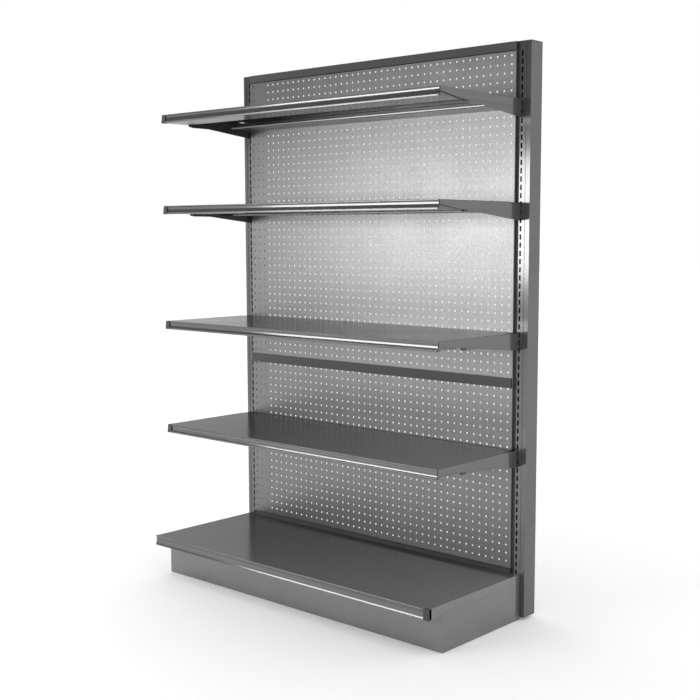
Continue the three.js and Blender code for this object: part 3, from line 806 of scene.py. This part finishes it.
def shelf(number):
    """A shelf tray with its folds and its end cap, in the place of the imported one."""
    node = f"shelf_{number}"
    low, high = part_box(node)
    half, rear, top = high[0], high[1], high[2]
    front = low[1] + SHELF_REACH
    foot = low[2]
    notch = rear - NOTCH_LENGTH
    rear_half = half - NOTCH_WIDTH
    hem_half = rear_half - HEM_INSET
    flat = front + EDGE_FLAT
    edge = front_edge(front, top, SHELF_FRONT, SHELF_LIP, SHELF_REACH)
    back = [(rear - REAR_STEP, foot), (rear, foot), (rear, top), (notch, top)]
    pan = [(rear - REAR_RETURN, foot + HEM), (rear - REAR_RETURN + HEM_LEAN, foot),
           (rear - REAR_STEP, foot)]
    flange = [(front + RECESS, top - SHELF_SHEET), (front + RECESS, top - FLANGE_FRONT),
              (front + TAPER, top - FLANGE_REAR), (notch, top - FLANGE_REAR),
              (notch, top - SIDE_FOLD_DROP), (flat, top - SIDE_FOLD_DROP), (flat, top - SHELF_SHEET)]
    sheet_top = [(flat, top - SHELF_SHEET), (notch, top - SHELF_SHEET), (notch, top), (flat, top)]
    parts = [
        (folded(edge, SHELF_SHEET, SHELF_FRONT_FOLD), (-half + CAP_LENGTH, half), "X"),
        (plain(sheet_top), (-half + SIDE_FLAT, half - SIDE_FLAT), "X"),
        (folded(back, SHELF_SHEET, SHELF_FOLD), (-rear_half, rear_half), "X"),
        (folded(pan, SHELF_SHEET, SHELF_FOLD), (-hem_half, hem_half), "X"),
        *side_folds(half, top, SHELF_SHEET, SHELF_FOLD, (flat, notch)),
        *flanges(half, SHELF_SHEET, flange),
    ]
    sheet_piece(node + "_folded", parts, body_of[node], node, "shelf_enamel")
    end_cap(node + "_end_cap", front, top, SHELF_FRONT, SHELF_REACH, -half, -1, body_of[node + "_strip"])
    return front, top


shelf_edges = [shelf(number) for number in range(1, 5)]
print("shelf tops:", [round(top / MM, 1) for front, top in shelf_edges])

# %% [markdown]
# ## Painted shade under the arms
# A small channel of black plastic sits on the lower edge of each arm, under the shelf's side. It is
# painted shade: it stands in for the shade that shows as a dark dot under each shelf. It is a channel,
# so it is drawn out from a folded section like the sheet metal.

# %% Put painted shade under the arms
# Size and place of the dark block of painted shade under each arm
SHADE_BLOCK_LENGTH = 20 * MM
SHADE_BLOCK_PLACE = 113 * MM  # from the shelf's front to the clip's front end
SHADE_BLOCK_DROP, SHADE_BLOCK_FOOT = 22.5 * MM, 31 * MM  # of its upper and lower edge, below the shelf's top
SHADE_BLOCK_WALL = 1.4 * MM
SHADE_BLOCK_BEND = 0.8 * MM
SHADE_BLOCK_PLAY = 0.1 * MM  # between the dark block and the arm


def arm_shade_block(number, hand):
    """A channel of black plastic on the lower edge of a shelf's arm, as painted shade under the shelf."""
    node = f"shelf_{number}_{hand}_arm"
    low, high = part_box(node)
    front, top = shelf_edges[number - 1]
    start = front + SHADE_BLOCK_PLACE
    left, right = low[0] - SHADE_BLOCK_PLAY, high[0] + SHADE_BLOCK_PLAY
    path = [(left, top - SHADE_BLOCK_DROP), (left, top - SHADE_BLOCK_FOOT), (right, top - SHADE_BLOCK_FOOT),
            (right, top - SHADE_BLOCK_DROP)]
    walls = (folded(path, -SHADE_BLOCK_WALL, SHADE_BLOCK_BEND), (start, start + SHADE_BLOCK_LENGTH), "Y")
    # The black plastic here is painted shade under the shelf's side.
    return sheet_piece(node + "_shade_block", [walls], body_of[node], None, "cap_plastic")


for number in range(1, 5):
    for hand in ("left", "right"):
        arm_shade_block(number, hand)
print("shade_blocks:", 2 * len(shelf_edges))

# %% [markdown]
# ## Base deck
# The deck is the same tray without the taper, and its sides reach a little past its rear edge, beside
# the panel. A row of small holes runs along its front edge, where wire dividers can be hooked in. The
# node tree that punches the back panels punches this sheet too, with one row and no lean, so that it
# lies flat.

# %% Fold and punch the deck
DECK_SHEET = 1.2 * MM
DECK_FOLD = 2.6 * MM
DECK_FRONT = 33 * MM  # height of the front edge
DECK_LIP = 2.5 * MM
DECK_FLANGE = 30 * MM
DECK_REAR_FLANGE = 25 * MM
DECK_REAR_RETURN = 12 * MM
DECK_REAR_INSET = 18.3 * MM  # of the rear fold, from either side of the deck
DECK_SIDE_REACH = 11.8 * MM  # of the deck's sides past its rear edge, beside the back panel
DECK_EAR = 28 * MM  # width of the deck beside the back panel
DIVIDER_SETBACK = 25.175 * MM  # from the deck's front to the row of holes
DIVIDER_RADIUS = 2.1 * MM
DIVIDER_COLUMNS = 47


def deck():
    """The base deck with its folds and its row of holes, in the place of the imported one."""
    low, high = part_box("base_deck")
    half, rear, top, front = high[0], high[1], high[2], low[1]
    flat = front + EDGE_FLAT
    inner = rear - SIDE_FLAT
    edge = front_edge(front, top, DECK_FRONT, DECK_LIP, 0)
    back = [(rear - DECK_REAR_RETURN, top - DECK_REAR_FLANGE), (rear, top - DECK_REAR_FLANGE),
            (rear, top), (inner, top)]
    ear = rear + DECK_SIDE_REACH
    flange = [(front + RECESS, top - DECK_SHEET), (front + RECESS, top - DECK_FLANGE),
              (ear, top - DECK_FLANGE), (ear, top - SIDE_FOLD_DROP), (flat, top - SIDE_FOLD_DROP),
              (flat, top - DECK_SHEET)]
    ear_strip = [(rear, top - DECK_SHEET), (ear, top - DECK_SHEET), (ear, top), (rear, top)]
    ear_inner = half - DECK_EAR
    rear_strip = [(inner, top - DECK_SHEET), (rear, top - DECK_SHEET), (rear, top), (inner, top)]
    rear_half = half - DECK_REAR_INSET
    parts = [
        (folded(edge, DECK_SHEET, DECK_FOLD), (-half, half - CAP_LENGTH), "X"),
        (folded(back, DECK_SHEET, DECK_FOLD), (-rear_half, rear_half), "X"),
        (plain(rear_strip), (rear_half, half - SIDE_FLAT), "X"),
        (plain(rear_strip), (-half + SIDE_FLAT, -rear_half), "X"),
        (plain(ear_strip), (ear_inner, half - SIDE_FLAT), "X"),
        (plain(ear_strip), (-half + SIDE_FLAT, -ear_inner), "X"),
        *side_folds(half, top, DECK_SHEET, DECK_FOLD, (flat, ear)),
        *flanges(half, DECK_SHEET, flange),
    ]
    piece = drawn_piece("base_deck_folded", parts)
    slide(piece, Z, -top)
    apply_tree(piece, peg_tree, {
        "Width": 2 * (half - SIDE_FLAT), "Thickness": DECK_SHEET, "Pitch": PEG_PITCH,
        "Hole Radius": DIVIDER_RADIUS, "Foot": flat, "First Row": front + DIVIDER_SETBACK, "Head": inner,
        "Columns": DIVIDER_COLUMNS, "Rows": 1, "Hole Sides": PEG_SIDES, "Lean": 0.0,
        "Finish": finishes["base_enamel"]})
    slide(piece, Z, top)
    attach(piece, body_of["base_deck"])
    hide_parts("base_deck")
    end_cap("base_deck_end_cap", front, top, DECK_FRONT, 0, half, 1, body_of["base_deck_strip"])
    return top


deck_top = deck()
print("deck top at", round(deck_top / MM, 1), "mm")

# %% [markdown]
# ## Ticket strips
# Each strip is a thin rolled sheet with a hollow face, between two edges turned back. The hollow
# matters for the picture: a shelf's strip faces some 10 degrees down at its upper edge and some 17 up
# at its lower edge, so the lamp shows in it as one narrow line, at another height on each shelf.

# %% Roll the strips
STRIP_SHEET = 0.8 * MM
STRIP_FOLD = 1.0 * MM
STRIP_HOLLOW, DECK_HOLLOW = 38 * MM, 45 * MM  # radius of the hollow
STRIP_DEEPEST, DECK_DEEPEST = 10.4 * MM, 11.2 * MM  # from the tray's top down to its deepest line
STRIP_STEPS = 16


def ticket_strip(node, top, radius, deepest):
    """A rolled strip between two edges turned back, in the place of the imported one."""
    low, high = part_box(node)
    axis = top - deepest
    upper = math.asin((high[2] - axis) / radius)
    lower = math.asin((low[2] - axis) / radius)
    centre = low[1] - radius * math.cos(lower)
    angles = [upper + (lower - upper) * i / STRIP_STEPS for i in range(STRIP_STEPS + 1)]
    hollow = [(centre + radius * math.cos(angle), axis + radius * math.sin(angle)) for angle in angles]
    section = folded([(high[1], high[2]), *hollow, (high[1], low[2])], STRIP_SHEET, STRIP_FOLD)
    rolled = (section, (low[0], high[0]), "X")
    return sheet_piece(node + "_rolled", [rolled], body_of[node], node, "strip_enamel")


for number, (_, top) in enumerate(shelf_edges, 1):
    ticket_strip(f"shelf_{number}_strip", top, STRIP_HOLLOW, STRIP_DEEPEST)
ticket_strip("base_deck_strip", deck_top, DECK_HOLLOW, DECK_DEEPEST)
print("strips:", len(shelf_edges) + 1)
